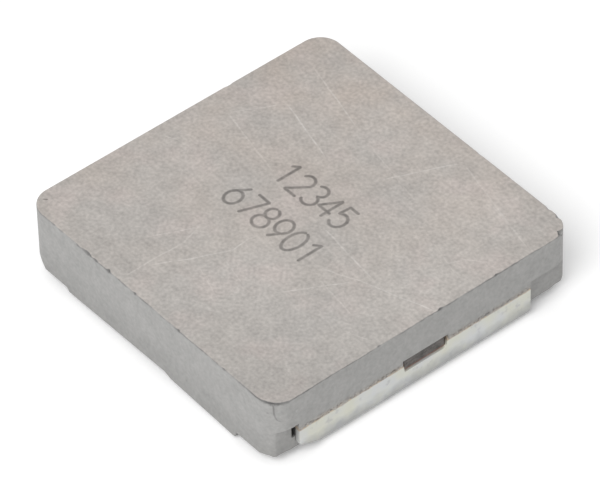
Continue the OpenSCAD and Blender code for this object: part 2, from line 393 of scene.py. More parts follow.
def side_rings(columns, s, length):
    """Rings of points and tones down the sides, from below the top edge to the underside."""
    kinds = [column_kind(x, y, nx) for x, y, nx in columns[:, :3]]
    profiles = {kind: core_profile(kind) for kind in ("plain", "lip", "mouth", "pocket")}
    sections = np.array([profiles[kind] for kind in kinds])
    feather = 0.035 * ragged(s, length, 0.4, 21) + 0.03 * ragged(s, length, 0.11, 22)
    foot_z = under_z(columns[:, 0], columns[:, 1])
    end_z = np.where(np.abs(columns[:, 2]) > 0.999, CHANNEL_Z, foot_z)
    across = np.array([kind != "lip" for kind in kinds])
    in_pocket = (columns[:, 1] > LEG_Y0 - POCKET_W - 0.02) & (columns[:, 1] < LEG_Y0 + 0.02)
    pocket_wall = in_pocket & (columns[:, 0] > 0)
    rings = []
    for k in range(sections.shape[1]):
        out, z = sections[:, k, 0], sections[:, k, 1].copy()
        x = np.sign(columns[:, 0]) * np.minimum(np.abs(columns[:, 0]), out)
        y = columns[:, 1].copy()
        on_band = (z < BAND_Z) & (z > FEATHER_Z - 0.01) & (out > HALF_W - 0.01) & ~across
        z = np.where(on_band, z + feather * (BAND_Z - z) / (BAND_Z - FEATHER_Z), z)
        share = (z - CHANNEL_Z) / (SIDE_LOW_Z - CHANNEL_Z)
        z = np.where(z < SIDE_LOW_Z, end_z + share * (SIDE_LOW_Z - end_z), z)
        points = np.stack([x, y, z], 1)
        # Painted shade on the pocket's walls, which stands for the shadow deep in the pocket
        dark = pocket_wall & (np.abs(x) < SET_IN + 0.02) & (z > 1.2) & (z < POCKET_TOP + 0.02)
        tones = np.where(dark, POCKET_SHADE_TONE, 0.0)
        lip_roughness(points, tones, kinds)
        rings.append((points, tones))
        lower_edge_wear(columns, points, k - sections.shape[1])
    return rings


# Broad lighter and darker areas of the top face: x, y, radius and tone
TOP_SHADES = (
    (7.6, -7.6, 2.8, -0.09),
    (3.4, -8.2, 2.2, -0.04),
    (-2.0, 6.6, 4.0, 0.07),
    (5.4, 6.4, 2.2, 0.08),
    (7.0, 1.4, 2.2, 0.09),
    (1.0, -4.2, 2.8, 0.05),
    (-7.0, -0.8, 2.2, 0.03),
    (-1.2, 3.0, 2.8, -0.03),
    (7.8, 7.8, 1.6, -0.05),
    (-7.2, 7.2, 2.0, -0.03),
    (-3.5, -7.4, 2.4, -0.02),
)
RIM_SHADE = -0.03


def top_shade(x, y):
    """Broad tone of the top face, darker along its rim."""
    x, y = np.asarray(x, float), np.asarray(y, float)
    to_rim = np.minimum(HALF_W - np.abs(x), HALF_D - np.abs(y))
    tone = RIM_SHADE * np.exp(-to_rim / 0.9)
    for at_x, at_y, radius, strength in TOP_SHADES:
        tone = tone + strength * np.exp(-((x - at_x) ** 2 + (y - at_y) ** 2) / radius ** 2)
    return tone


def top_inner_points():
    """An even grid of points inside the rim of the top face, with no edges of its own."""
    reach = HALF_W - CORNER_R
    places = np.linspace(-reach, reach, 25)
    return [(x, y) for x in places for y in places], []


def under_inner_points():
    """Points of the underside: rows along the land's slopes and the step behind its worn strip."""
    step_y = -HALF_D + WORN_T
    end = LAND_X + LAND_RUN
    points, edges = [], []

    def add_row(row):
        first = len(points)
        points.extend(row)
        edges.extend((first + i, first + i + 1) for i in range(len(row) - 1))

    along_x = sorted(set(np.linspace(-LAND_X, LAND_X, 30)) | {-end, end, WORN_X[1], WORN_X[2]})
    for side in (-1, 1):
        add_row([(x, step_y + side * SEAM) for x in along_x])
    along_y = np.linspace(step_y + 0.3, HALF_D - 0.3, 40)
    for x in (-end, -LAND_X, LAND_X, end):
        add_row([(x, y) for y in along_y])
    return points, edges


def cap_faces(ring_xy, inner, edges, first_inner):
    """Triangles that fill a ring; inner points get indices from first_inner on."""
    count = len(ring_xy)
    border = [(i, (i + 1) % count) for i in range(count)]
    inner_edges = [(count + a, count + b) for a, b in edges]
    places = [Vector(p) for p in ring_xy] + [Vector(p) for p in inner]
    made = delaunay_2d_cdt(places, border + inner_edges, [], 1, 1e-7)
    source = [ids[0] for ids in made[3]]
    faces = []
    for face in made[2]:
        faces.append([source[i] for i in face])
    return [[i if i < count else first_inner + i - count for i in face] for face in faces]


def core_mesh():
    """Points, faces and tones of the whole core."""
    columns = core_columns()
    steps = np.hypot(*np.diff(columns[:, :2], axis=0, append=columns[:1, :2]).T)
    s = np.concatenate([[0], np.cumsum(steps)[:-1]])
    length = steps.sum()
    rings = top_edge_rings(columns, s, length) + side_rings(columns, s, length)
    count = len(columns)
    points = np.concatenate([ring for ring, tone in rings])
    tones = np.concatenate([tone for ring, tone in rings])
    faces = []
    for k in range(len(rings) - 1):
        faces += ring_quads((k + 1) * count, k * count, count)
    top_inner, top_edges = top_inner_points()
    first = len(points)
    faces += cap_faces(rings[0][0][:, :2], top_inner, top_edges, first)
    points = np.concatenate([points, [(x, y, TOP_Z) for x, y in top_inner]])
    under_inner, under_edges = under_inner_points()
    under_first = len(points)
    last_ring = (len(rings) - 1) * count
    under = cap_faces(rings[-1][0][:, :2], under_inner, under_edges, under_first)
    faces += [[i + last_ring if i < count else i for i in face][::-1] for face in under]
    under_points = [(x, y, float(under_z(x, y))) for x, y in under_inner]
    points = np.concatenate([points, under_points])
    top_tones = top_shade(*np.array(top_inner).T)
    tones = np.concatenate([tones, top_tones, np.zeros(len(under_inner))])
    return points, faces, tones


# ---- terminals

def notch_half(z):
    """Half width of the leg's notch at height z."""
    share = np.clip((z - NOTCH_Z) / (LEAD_TOP - NOTCH_Z), 0, 1)
    return NOTCH_LOW + (NOTCH_HIGH - NOTCH_LOW) * share


def notch_right(z):
    """The notch's other side, whose lower corner is round."""
    above = np.clip(z - NOTCH_Z, 0, NOTCH_ROUND)
    corner = NOTCH_ROUND - math.sqrt(NOTCH_ROUND ** 2 - (NOTCH_ROUND - above) ** 2)
    return notch_half(z) - corner


def wing_tangent():
    """Y and z where the wing's sloped lower edge meets its round corner."""
    away_y = LEG_Y0 + WING_R - FOOT_Y0
    away_z = WING_Z + WING_R - WING_LOW
    reach = math.sqrt(away_y ** 2 + away_z ** 2 - WING_R ** 2)
    angle = math.atan2(away_z, away_y) + math.asin(WING_R / math.hypot(away_y, away_z))
    return FOOT_Y0 + reach * math.cos(angle), WING_LOW + reach * math.sin(angle)


def wing_y(z):
    """Where the leg's wing ends at height z."""
    end_y, end_z = wing_tangent()
    if z >= WING_Z + WING_R:
        return LEG_Y0
    if z >= end_z:
        below = WING_Z + WING_R - z
        return LEG_Y0 + WING_R - math.sqrt(max(WING_R ** 2 - below ** 2, 0))
    sloped = FOOT_Y0 + (end_y - FOOT_Y0) * (z - WING_LOW) / (end_z - WING_LOW)
    return min(sloped, FOOT_Y0 - 0.06)


def sheet_rows():
    """Rows over the terminal's outer surface, from the foot's tip to the lead plate: x, z, normal."""
    rows = [(x, 0.0, 0.0, -1.0) for x in np.linspace(FOOT_X, LOW_BEND_X, 10)]
    corner = np.linspace(wing_tangent()[1], WING_Z + WING_R, 5)
    wing = [WING_LOW, WING_LOW + 0.024] + list(corner)
    even = [LOW_BEND_R * (1 - math.cos(math.radians(a))) for a in range(6, 91, 6)]
    low = sorted(z for z in even + wing if z < LOW_BEND_R - 1e-6)
    for z in low:
        angle = math.asin((z - LOW_BEND_R) / LOW_BEND_R)
        nx, nz = math.cos(angle), math.sin(angle)
        rows.append((LOW_BEND_X + LOW_BEND_R * nx, z, nx, nz))
    notch = [NOTCH_Z + NOTCH_ROUND * (1 - math.cos(math.radians(a))) for a in range(0, 91, 15)]
    leg = set(np.linspace(LOW_BEND_R, TOP_BEND_Z, 9)) | set(notch)
    leg |= {z for z in wing if z > LOW_BEND_R}
    rows += [(HALF_W, z, 1.0, 0.0) for z in sorted(leg)]
    for a in range(9, 91, 9):
        nx, nz = math.cos(math.radians(a)), math.sin(math.radians(a))
        rows.append((TOP_BEND_X + TOP_BEND_R * nx, TOP_BEND_Z + TOP_BEND_R * nz, nx, nz))
    rows += [(x, LEAD_TOP, 0.0, 1.0) for x in np.linspace(TOP_BEND_X, LEAD_X, 6)[1:]]
    return rows


def sheet_blocks(z):
    """Borders of the four blocks across the terminal at height z: wing, left, middle and right."""
    left = -notch_half(z)
    right = notch_right(z)
    return (wing_y(z), FOOT_Y0, left, right, LEG_Y1)


# Steps across each block of the terminal
BLOCK_STEPS = (6, 24, 16, 26)


def middle_shares():
    """Places across the middle block, from 0 to 1, with the tongue's two edges among them."""
    edge = (1 - TONGUE_HALF / NOTCH_HIGH) / 2
    return [0.0] + list(np.linspace(edge, 1 - edge, BLOCK_STEPS[2] - 1)) + [1.0]


def row_places(z):
    """Y of every column across the terminal at height z."""
    borders = sheet_blocks(z)
    places = []
    for block, steps in enumerate(BLOCK_STEPS):
        shares = middle_shares() if block == 2 else np.linspace(0, 1, steps + 1)
        a, b = borders[block], borders[block + 1]
        row = [a + (b - a) * share for share in shares]
        places += row if block == 0 else row[1:]
    return places


def sheet_cells(rows):
    """Quads of the outer surface as (row, column) corners, with the wing and the notch cut out."""
    wing_last = BLOCK_STEPS[0]
    notch_first = sum(BLOCK_STEPS[:2])
    notch_last = sum(BLOCK_STEPS[:3])
    cells = []
    for r in range(len(rows) - 1):
        low_z = min(rows[r][1], rows[r + 1][1])
        on_lead = max(rows[r][0], rows[r + 1][0]) <= TOP_BEND_X + 1e-6 and low_z > TOP_BEND_Z
        for c in range(sum(BLOCK_STEPS)):
            if c < wing_last and low_z < WING_LOW - 1e-6:
                continue
            if notch_first <= c < notch_last and low_z > NOTCH_Z - 1e-6 and not on_lead:
                continue
            cells.append(((r, c), (r, c + 1), (r + 1, c + 1), (r + 1, c)))
    return cells


def terminal_mesh():
    """The +X terminal as a bmesh in millimetres: a sheet with thickness and softened edges."""
    rows = sheet_rows()
    root = next(r for r, row in enumerate(rows) if row[2] < 1e-6 and row[1] > TOP_BEND_Z)
    outer, inner = {}, {}
    made = bmesh.new()

    def corner(r, c):
        if (r, c) not in outer:
            x, z, nx, nz = rows[r] if r < len(rows) else tongue[r - len(rows)]
            y = row_places(z)[c]
            outer[r, c] = made.verts.new((x, y, z))
            inner[r, c] = made.verts.new((x - nx * SHEET_T, y, z - nz * SHEET_T))
        return r, c

    tongue = [(x, LEAD_TOP, 0.0, 1.0) for x in np.linspace(TOP_BEND_X, END_X, 4)[1:]]
    cells = sheet_cells(rows)
    tongue_columns = range(sum(BLOCK_STEPS[:2]) + 1, sum(BLOCK_STEPS[:3]) - 1)
    for step in range(len(tongue)):
        near = root if step == 0 else len(rows) + step - 1
        far = len(rows) + step
        cells += [((far, c), (far, c + 1), (near, c + 1), (near, c)) for c in tongue_columns]
    sides = []
    for cell in cells:
        keys = [corner(*key) for key in cell]
        made.faces.new([outer[key] for key in keys])
        made.faces.new([inner[key] for key in reversed(keys)])
        sides += zip(keys, keys[1:] + keys[:1])
    known = set(sides)
    for a, b in sides:
        if (b, a) not in known:
            made.faces.new([outer[b], outer[a], inner[a], inner[b]])
    made.normal_update()
    crisp = [e for e in made.edges if len(e.link_faces) == 2 and e.calc_face_angle() > 0.9]
    bmesh.ops.bevel(made, geom=crisp, offset=TIN_EDGE_R, segments=2, profile=0.6,
                    affect="EDGES", clamp_overlap=True)
    return made


def terminal_piece(name, node, turned, material):
    """One terminal, which stands for its CAD node."""
    made = terminal_mesh()
    if turned:
        bmesh.ops.rotate(made, verts=made.verts, matrix=Matrix.Rotation(math.pi, 3, "Z"))
    made.normal_update()
    made.verts.index_update()
    points = [v.co[:] for v in made.verts]
    faces = [[v.index for v in f.verts] for f in made.faces]
    made.free()
    piece = make_piece(name, points, faces, material, "tinned_sheet", sharp_deg=50)
    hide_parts(node)
    return piece


# ---- fine ribbons on the powder

# Across a ribbon: place from edge to edge, height and strength of its tone
RIBBON_SECTION = ((-1.0, 0.0, 0.0), (-0.55, 0.8, 0.85), (0.0, 1.0, 1.0), (0.55, 0.8, 0.85),
                  (1.0, 0.0, 0.0))
RIBBON_RISE = 0.0022
RIBBON_SINK = 0.004


def add_ribbon(bag, path, normals, widths, tone):
    """Adds a thin closed ridge along a path to a bag of points, faces and tones."""
    points, faces, tones = bag
    path, normals = np.asarray(path, float), np.asarray(normals, float)
    along = np.gradient(path, axis=0)
    across = np.cross(normals, along)
    across /= np.linalg.norm(across, axis=1)[:, None]
    strength = np.asarray(tone) * np.ones(len(path))
    base = top_shade(path[:, 0], path[:, 1]) * (normals[:, 2] > 0.5)
    ring = len(RIBBON_SECTION) + 1
    first = len(points)
    for i, place in enumerate(path):
        for side, rise, share in RIBBON_SECTION:
            height = RIBBON_RISE * rise - (0.0006 if rise == 0 else 0)
            points.append(place + across[i] * widths[i] * side + normals[i] * height)
            tones.append(strength[i] * share + base[i])
        points.append(place - normals[i] * RIBBON_SINK)
        tones.append(base[i])
    for i in range(len(path) - 1):
        a, b = first + i * ring, first + (i + 1) * ring
        faces += [(a + k, a + (k + 1) % ring, b + (k + 1) % ring, b + k) for k in range(ring)]
    last = first + (len(path) - 1) * ring
    faces.append([first + k for k in reversed(range(ring))])
    faces.append([last + k for k in range(ring)])


def even_path(corners, step):
    """The corners of a line joined by points about a step apart."""
    corners = np.asarray(corners, float)
    spans = np.linalg.norm(np.diff(corners, axis=0), axis=1)
    at = np.concatenate([[0], np.cumsum(spans)])
    t = np.linspace(0, at[-1], max(int(at[-1] / step), 2) + 1)
    return np.stack([np.interp(t, at, corners[:, k]) for k in range(corners.shape[1])], 1), t


def on_top(path):
    """A flat path laid on the top face, with its normals."""
    placed = np.column_stack([path, np.full(len(path), TOP_Z)])
    return placed, np.tile((0.0, 0.0, 1.0), (len(path), 1))


# ---- counting figures

def arc(cx, cy, rx, ry, start, end, count=12):
    """Points of an ellipse's arc, angles in degrees."""
    angles = np.radians(np.linspace(start, end, count))
    return [(cx + rx * math.cos(a), cy + ry * math.sin(a)) for a in angles]


# Strokes of each figure in a box 0.6 wide and 1 high
FIGURES = {
    "0": [arc(0.3, 0.5, 0.27, 0.5, 90, 450, 29)],
    "1": [[(0.08, 0.80), (0.32, 1.0), (0.32, 0.0)]],
    "2": [arc(0.3, 0.73, 0.26, 0.27, 165, -20) + [(0.04, 0.0), (0.58, 0.0)]],
    "3": [arc(0.28, 0.76, 0.25, 0.24, 150, -70) + arc(0.28, 0.27, 0.28, 0.27, 75, -155)],
    "4": [[(0.42, 0.0), (0.42, 1.0), (0.0, 0.32), (0.58, 0.32)]],
    "5": [[(0.52, 1.0), (0.10, 1.0), (0.06, 0.56)] + arc(0.28, 0.33, 0.28, 0.33, 125, -150)],
    "6": [[(0.44, 1.0)] + arc(0.3, 0.33, 0.27, 0.33, 160, 520, 25)],
    "7": [[(0.03, 1.0), (0.57, 1.0), (0.20, 0.0)]],
    "8": [arc(0.3, 0.76, 0.22, 0.24, 90, 450, 21), arc(0.3, 0.27, 0.28, 0.27, 90, 450, 23)],
    "9": [arc(0.3, 0.67, 0.27, 0.33, -20, -380, 25) + [(0.20, 0.0)]],
}

# Text, left end, baseline, step between figures and their height
FIGURE_ROWS = (
    ("12345", -2.72, 0.60, 0.94, 1.40),
    ("678901", -3.20, -1.95, 0.99, 1.43),
)
STROKE_HALF = 0.105
STROKE_END = 0.09
FIGURE_TONE = -0.56
# Spacing of the points along a stroke and along a scratch
STROKE_STEP = 0.03
SCRATCH_STEP = 0.06


def stroke_widths(t, half, end):
    """Half widths along a stroke with round ends."""
    away = np.minimum(t, t[-1] - t) / end
    return half * np.sqrt(np.clip(1 - (1 - np.clip(away, 0, 1)) ** 2, 0.02, 1))


def counting_figures(material):
    """Two rows of plain counting figures, burnt thinly into the top face."""
    bag = ([], [], [])
    strength = np.random.default_rng(31)
    for text, left, base, step, height in FIGURE_ROWS:
        for i, figure in enumerate(text):
            for stroke in FIGURES[figure]:
                corners = [(left + i * step + x * height, base + y * height) for x, y in stroke]
                path, t = even_path(corners, STROKE_STEP)
                placed, normals = on_top(path)
                fade = 1 + 0.18 * ragged(t, t[-1] + 1, 0.25, int(strength.integers(999)))
                widths = stroke_widths(t, STROKE_HALF, STROKE_END)
                add_ribbon(bag, placed, normals, widths, FIGURE_TONE * fade)
    return make_piece("counting_figures", *bag[:2], material, "pressed_powder", bag[2])


# ---- scratches

# Corners of each scratch on the top face, its half width and how light it is
SCRATCHES = (
    (((-7.07, 6.68), (-2.67, 5.57)), 0.045, 0.26),
    (((-1.10, 5.18), (2.71, 4.45)), 0.035, 0.14),
    (((-5.90, 4.17), (-5.55, 4.12), (-1.95, 3.22)), 0.050, 0.30),
    (((-7.19, 1.79), (-6.30, 3.30), (-6.00, 4.00), (-5.90, 4.17)), 0.040, 0.22),
    (((-7.19, 1.79), (-2.94, 0.90)), 0.060, 0.18),
    (((-7.93, -1.36), (-7.12, -0.93)), 0.050, 0.24),
    (((-8.30, -0.84), (-7.86, -0.79)), 0.035, 0.14),
    (((0.69, 4.19), (2.18, 7.48)), 0.045, 0.30),
    (((2.18, 7.48), (2.60, 7.55), (8.39, 6.16)), 0.045, 0.18),
    (((-3.27, -5.90), (-2.27, -3.88)), 0.040, 0.24),
    (((-2.00, -8.27), (-2.03, -6.60), (-1.95, -4.94), (-2.27, -3.88)), 0.045, 0.24),
    (((-1.84, -6.94), (-0.90, -5.30), (-0.18, -3.60), (-0.25, -2.52)), 0.045, 0.24),
    (((0.50, -7.47), (3.23, -6.11), (5.10, -5.78), (6.20, -5.95), (6.95, -6.45)), 0.110, 0.07),
    (((6.95, -6.45), (7.50, -6.62)), 0.100, 0.22),
    (((3.21, -3.78), (4.83, -0.88)), 0.045, 0.26),
    (((-0.13, -4.21), (2.40, -4.81)), 0.035, 0.13),
    (((1.27, 0.28), (5.36, -0.18)), 0.050, 0.24),
    (((1.52, 2.21), (5.68, 1.33)), 0.035, 0.10),
    (((3.30, -1.41), (4.93, -0.67), (8.50, 0.57)), 0.045, 0.30),
    (((6.35, 2.19), (6.92, 3.61), (8.23, 4.73)), 0.035, 0.12),
    (((7.67, 4.58), (8.40, 6.27)), 0.035, 0.14),
    (((4.80, 6.85), (8.35, 6.31)), 0.035, 0.12),
    (((3.38, -1.88), (6.38, -2.30)), 0.040, 0.16),
    (((6.41, -3.29), (8.16, -2.67)), 0.040, 0.14),
    (((-0.60, -5.30), (1.90, -6.10)), 0.030, 0.08),
    (((4.10, 3.60), (7.60, 2.70)), 0.030, 0.09),
    (((-4.60, 6.90), (-3.90, 7.90)), 0.030, 0.10),
)


def scratches(material):
    """Fine light scratches in the top face."""
    bag = ([], [], [])
    for i, (corners, half, tone) in enumerate(SCRATCHES):
        path, t = even_path(corners, SCRATCH_STEP)
        wander = 0.02 * ragged(t, t[-1] + 2, 0.9, 40 + i)
        path = path + np.column_stack([wander, -wander])
        placed, normals = on_top(path)
        taper = np.clip(np.minimum(t, t[-1] - t) / 0.5, 0.12, 1) ** 0.5
        broken = 0.75 + 0.35 * ragged(t, t[-1] + 2, 0.35, 80 + i)
        add_ribbon(bag, placed, normals, half * taper, tone * taper * broken)
    return make_piece("scratches", *bag[:2], material, "pressed_powder", bag[2])


# The hairline crack on the front corner: heights of its bends, where they lie round the corner in
# degrees, and its half width; then the ends and the half width of the dark dash by the left corner
CRACK_Z = (3.84, 3.62, 3.30, 3.02, 2.86, 2.74)
CRACK_DEG = (-48.0, -46.5, -46.0, -43.0, -39.0, -30.0)
CRACK_HALF = 0.055
DASH_ENDS = ((-8.20, -7.95), (-8.02, -7.78))
DASH_HALF = 0.06


def corner_crack(material):
    """The hairline crack down the front upright corner, and a short dark dash by the left one."""
    bag = ([], [], [])
    centre = np.array((HALF_W - CORNER_R, -HALF_D + CORNER_R))
    z = np.linspace(CRACK_Z[0], CRACK_Z[-1], 40)
    angle = np.radians(np.interp(-z, [-v for v in CRACK_Z], CRACK_DEG))
    normals = np.column_stack([np.cos(angle), np.sin(angle), 0 * angle])
    path = np.column_stack([centre + CORNER_R * normals[:, :2], z])
    t = np.linspace(0, 1, len(z))
    widths = CRACK_HALF * np.clip(np.minimum(t + 0.3, 1.1 - t) / 0.3, 0.2, 1)
    add_ribbon(bag, path, normals, widths, -0.42 * (1.05 - 0.5 * t))
    dash, normals = on_top(even_path(DASH_ENDS, STROKE_STEP)[0])
    widths = stroke_widths(np.linspace(0, 0.25, len(dash)), DASH_HALF, 0.08)
    add_ribbon(bag, dash, normals, widths, -0.5)
    return make_piece("corner_crack", *bag[:2], material, "pressed_powder", bag[2])


# ---- squeezed-out powder over the leads

# Crumbs along one lead, the height of the lowest ones and how far up they lie
CRUMBS = 150
CRUMB_LOW_Z = 1.735
CRUMB_SPAN = 0.16


def crumb_shapes(count, seed):
    """Places and sizes of the crumbs along one lead, in the terminal's own frame."""
    rng = np.random.default_rng(seed)
    shapes = []
    while len(shapes) < count:
        y = rng.uniform(LEG_Y0 + 0.05, LEG_Y1 - 0.02)
        if abs(y) < NOTCH_HIGH + 0.05:
            continue
        z = CRUMB_LOW_Z + CRUMB_SPAN * rng.beta(1.1, 2.2)
        size = rng.uniform(0.018, 0.048)
        light = rng.uniform(-0.35, 0.28)
        shapes.append(((HALF_W - 0.004, y, z), size, light))
    return shapes


def lead_flash(name, turned, seed, material):
    """Crumbs of powder that stick to the lip's feather edge over one lead."""
    points, faces, tones = [], [], []
    lump = bmesh.new()
    bmesh.ops.create_icosphere(lump, subdivisions=2, radius=1)
    base = [v.co.copy() for v in lump.verts]
    base_faces = [[v.index for v in f.verts] for f in lump.faces]
    lump.free()
    side = -1 if turned else 1
    for place, size, light in crumb_shapes(CRUMBS, seed):
        first = len(points)
        for v in base:
            swell = 1 + 0.45 * crumbly(v + Vector(place) * 7, 0.8, seed)
            spot = Vector(place) + Vector((v.x * 0.55, v.y * 1.3, v.z * 0.8)) * size * swell
            points.append((side * spot.x, side * spot.y, spot.z))
            tones.append(light)
        faces += [[first + k for k in face] for face in base_faces]
    return make_piece(name, points, faces, material, "pressed_powder", tones)


# ---- materials

def shader_tree(name):
    """New material with its node tree and its shader."""
    material = bpy.data.materials.new(name)
    material.use_nodes = True
    tree = material.node_tree
    return material, tree, tree.nodes["Principled BSDF"]


def put(tree, kind, settings=None, inputs=None):
    """Adds a node; an input is a value or another node's socket."""
    made = tree.nodes.new(kind)
    for key, value in (settings or {}).items():
        setattr(made, key, value)
    for key, value in (inputs or {}).items():
        if isinstance(value, bpy.types.NodeSocket):
            tree.links.new(value, made.inputs[key])
        else:
            made.inputs[key].default_value = value
    return made


def object_place(tree):
    """Place in the CAD frame, in metres."""
    return put(tree, "ShaderNodeTexCoord").outputs["Object"]


def cloud(tree, place, size_mm, detail=3.0, shift=(0.0, 0.0, 0.0)):
    """Noise from 0 to 1 with features of about that size."""
    moved = put(tree, "ShaderNodeMapping", inputs={"Vector": place, "Location": shift})
    made = put(tree, "ShaderNodeTexNoise", inputs={
        "Vector": moved.outputs[0], "Scale": 1 / (size_mm * MM), "Detail": detail})
    return made.outputs[0]


def spread(tree, value, low, high, to_low, to_high):
    """Maps a value's range to another one and stops it there."""
    made = put(tree, "ShaderNodeMapRange", inputs={
        "Value": value, "From Min": low, "From Max": high, "To Min": to_low, "To Max": to_high})
    return made.outputs[0]


def maths(tree, operation, a, b):
    """Sum, product or the like of two values."""
    made = put(tree, "ShaderNodeMath", {"operation": operation}, {0: a, 1: b})
    return made.outputs[0]


def mix(tree, share, first, second, blend="MIX"):
    """Mix of two colours."""
    made = put(tree, "ShaderNodeMixRGB", {"blend_type": blend},
               {"Fac": share, "Color1": first, "Color2": second})
    return made.outputs[0]


def linear(red, green, blue):
    """Linear colour from screen values of 0 to 255."""
    return tuple(((c / 255 + 0.055) / 1.055) ** 2.4 for c in (red, green, blue)) + (1.0,)


# Colours of the powder, the tin and the copper
TOP_FRONT = linear(176, 171, 166)
TOP_BACK = linear(179, 169, 161)
TOP_PATCH = linear(172, 168, 164)
TOP_ROSE = linear(187, 177, 172)
SIDE_LOW = linear(154, 153, 151)
SIDE_HIGH = linear(165, 164, 162)
POWDER_TAN = linear(168, 152, 134)
# Pale of the scratches, which the painted highlight on the lip's lumps also takes
PALE_SCRATCH_AND_HIGHLIGHT = linear(232, 231, 228)
TIN_CREAM = linear(211, 211, 199)
TIN_COOL = linear(205, 207, 210)
TIN_SMUDGE = linear(140, 140, 150)
# Painted shade for the tin's lower bend
TIN_BEND_SHADE = linear(160, 161, 162)
TIN_BURNT = linear(176, 146, 112)
CUT_DARK = linear(74, 71, 69)
CUT_PALE = linear(112, 106, 103)
ENAMEL_DARK = linear(150, 92, 58)
ENAMEL_PALE = linear(176, 112, 74)
COPPER_PINK = linear(168, 128, 116)


def bump(tree, height, depth_mm, strength=1.0, under=None):
    """Surface relief of that depth from a value."""
    inputs = {"Strength": strength, "Distance": depth_mm * MM, "Height": height}
    if under is not None:
        inputs["Normal"] = under
    return put(tree, "ShaderNodeBump", inputs=inputs).outputs[0]


def powder_material():
    """Pressed iron powder: warm and dusty on top, cooler on the sides, with grain and specks."""
    material, tree, shader = shader_tree("pressed_powder_look")
    place = object_place(tree)
    parts = put(tree, "ShaderNodeSeparateXYZ", inputs={0: place})
    height = parts.outputs[2]
    on_top_face = spread(tree, height, (TOP_Z - 0.03) * MM, (TOP_Z - 0.004) * MM, 0, 1)
    colour = mix(tree, on_top_face, side_colour(tree, place, parts), top_colour(tree, place, parts))
    mottle = spread(tree, cloud(tree, place, 0.75, 4.0, (0, 0.05, 0)), 0.30, 0.70, -0.08, 0.08)
    grain = spread(tree, cloud(tree, place, 0.17, 2.0, (0, 0, 0.05)), 0.25, 0.75, -0.17, 0.17)
    rough_look = maths(tree, "MULTIPLY", maths(tree, "ADD", mottle, grain),
                       spread(tree, on_top_face, 0, 1, 0.65, 1))
    tone = put(tree, "ShaderNodeAttribute", {"attribute_name": "tone"}).outputs["Fac"]
    value = maths(tree, "ADD", rough_look, 1.0)
    value = maths(tree, "MULTIPLY", value, pits_and_specks(tree, place))
    # The tone darkens the figures, the crack and the broad top tone, and also paints shade in the edge
    # groove, the pocket and the lip's hollows
    darker = maths(tree, "MINIMUM", tone, 0.08)
    value = maths(tree, "MULTIPLY", value, maths(tree, "ADD", darker, 1.0))
    shaded = put(tree, "ShaderNodeHueSaturation", inputs={"Color": colour, "Value": value})
    # Tones above 0.08 turn pale: scratches and crumbs, and the painted highlight on the lip's lumps
    paler = spread(tree, tone, 0.08, 0.78, 0, 0.7)
    seen = mix(tree, paler, shaded.outputs[0], PALE_SCRATCH_AND_HIGHLIGHT)
    tree.links.new(seen, shader.inputs["Base Color"])
    shader.inputs["Roughness"].default_value = 0.50
    shader.inputs["Specular IOR Level"].default_value = 0.5
    fine = bump(tree, cloud(tree, place, 0.09, 3.0), 0.006, 0.55)
    coarse = bump(tree, cloud(tree, place, 0.6, 3.0), 0.012, 0.35, fine)
    tree.links.new(coarse, shader.inputs["Normal"])
    return material


def top_colour(tree, place, parts):
    """Colour of the top face: grey to the front and warmer to the back, in cloudy patches."""
    back = maths(tree, "SUBTRACT", parts.outputs[1], parts.outputs[0])
    warm = spread(tree, back, -9 * MM, 13 * MM, 0, 1)
    colour = mix(tree, warm, TOP_FRONT, TOP_BACK)
    patches = spread(tree, cloud(tree, place, 3.2, 2.0), 0.35, 0.65, 0, 0.7)
    colour = mix(tree, patches, colour, TOP_PATCH)
    rose = spread(tree, cloud(tree, place, 2.1, 2.0, (0.05, 0, 0)), 0.50, 0.72, 0, 0.6)
    return mix(tree, rose, colour, TOP_ROSE)


def side_colour(tree, place, parts):
    """Colour of the sides: cooler, a little darker to the bottom, tan over the leads."""
    high = spread(tree, parts.outputs[2], 0.6 * MM, 2.3 * MM, 0, 1)
    colour = mix(tree, high, SIDE_LOW, SIDE_HIGH)
    out = maths(tree, "ABSOLUTE", parts.outputs[0], 0.0)
    on_lip = spread(tree, out, (HALF_W - 0.06) * MM, (HALF_W - 0.03) * MM, 0, 1)
    near = spread(tree, parts.outputs[2], 1.80 * MM, 2.02 * MM, 0.55, 0)
    patchy = spread(tree, cloud(tree, place, 0.5, 3.0, (0, 0.02, 0)), 0.35, 0.65, 0.2, 1)
    tan = maths(tree, "MULTIPLY", maths(tree, "MULTIPLY", on_lip, near), patchy)
    return mix(tree, tan, colour, POWDER_TAN)


def pits_and_specks(tree, place):
    """Lightness factor for scattered dark pits and pale specks."""
    cells = put(tree, "ShaderNodeTexVoronoi", inputs={"Vector": place, "Scale": 1 / (0.9 * MM)})
    chance = put(tree, "ShaderNodeSeparateColor", inputs={0: cells.outputs["Color"]})
    near = spread(tree, cells.outputs["Distance"], 0.03, 0.09, 1, 0)
    dark = maths(tree, "MULTIPLY", near, spread(tree, chance.outputs[0], 0.80, 0.9, 0, 0.22))
    light = maths(tree, "MULTIPLY", near, spread(tree, chance.outputs[1], 0.80, 0.9, 0, 0.16))
    return maths(tree, "ADD", maths(tree, "SUBTRACT", light, dark), 1.0)


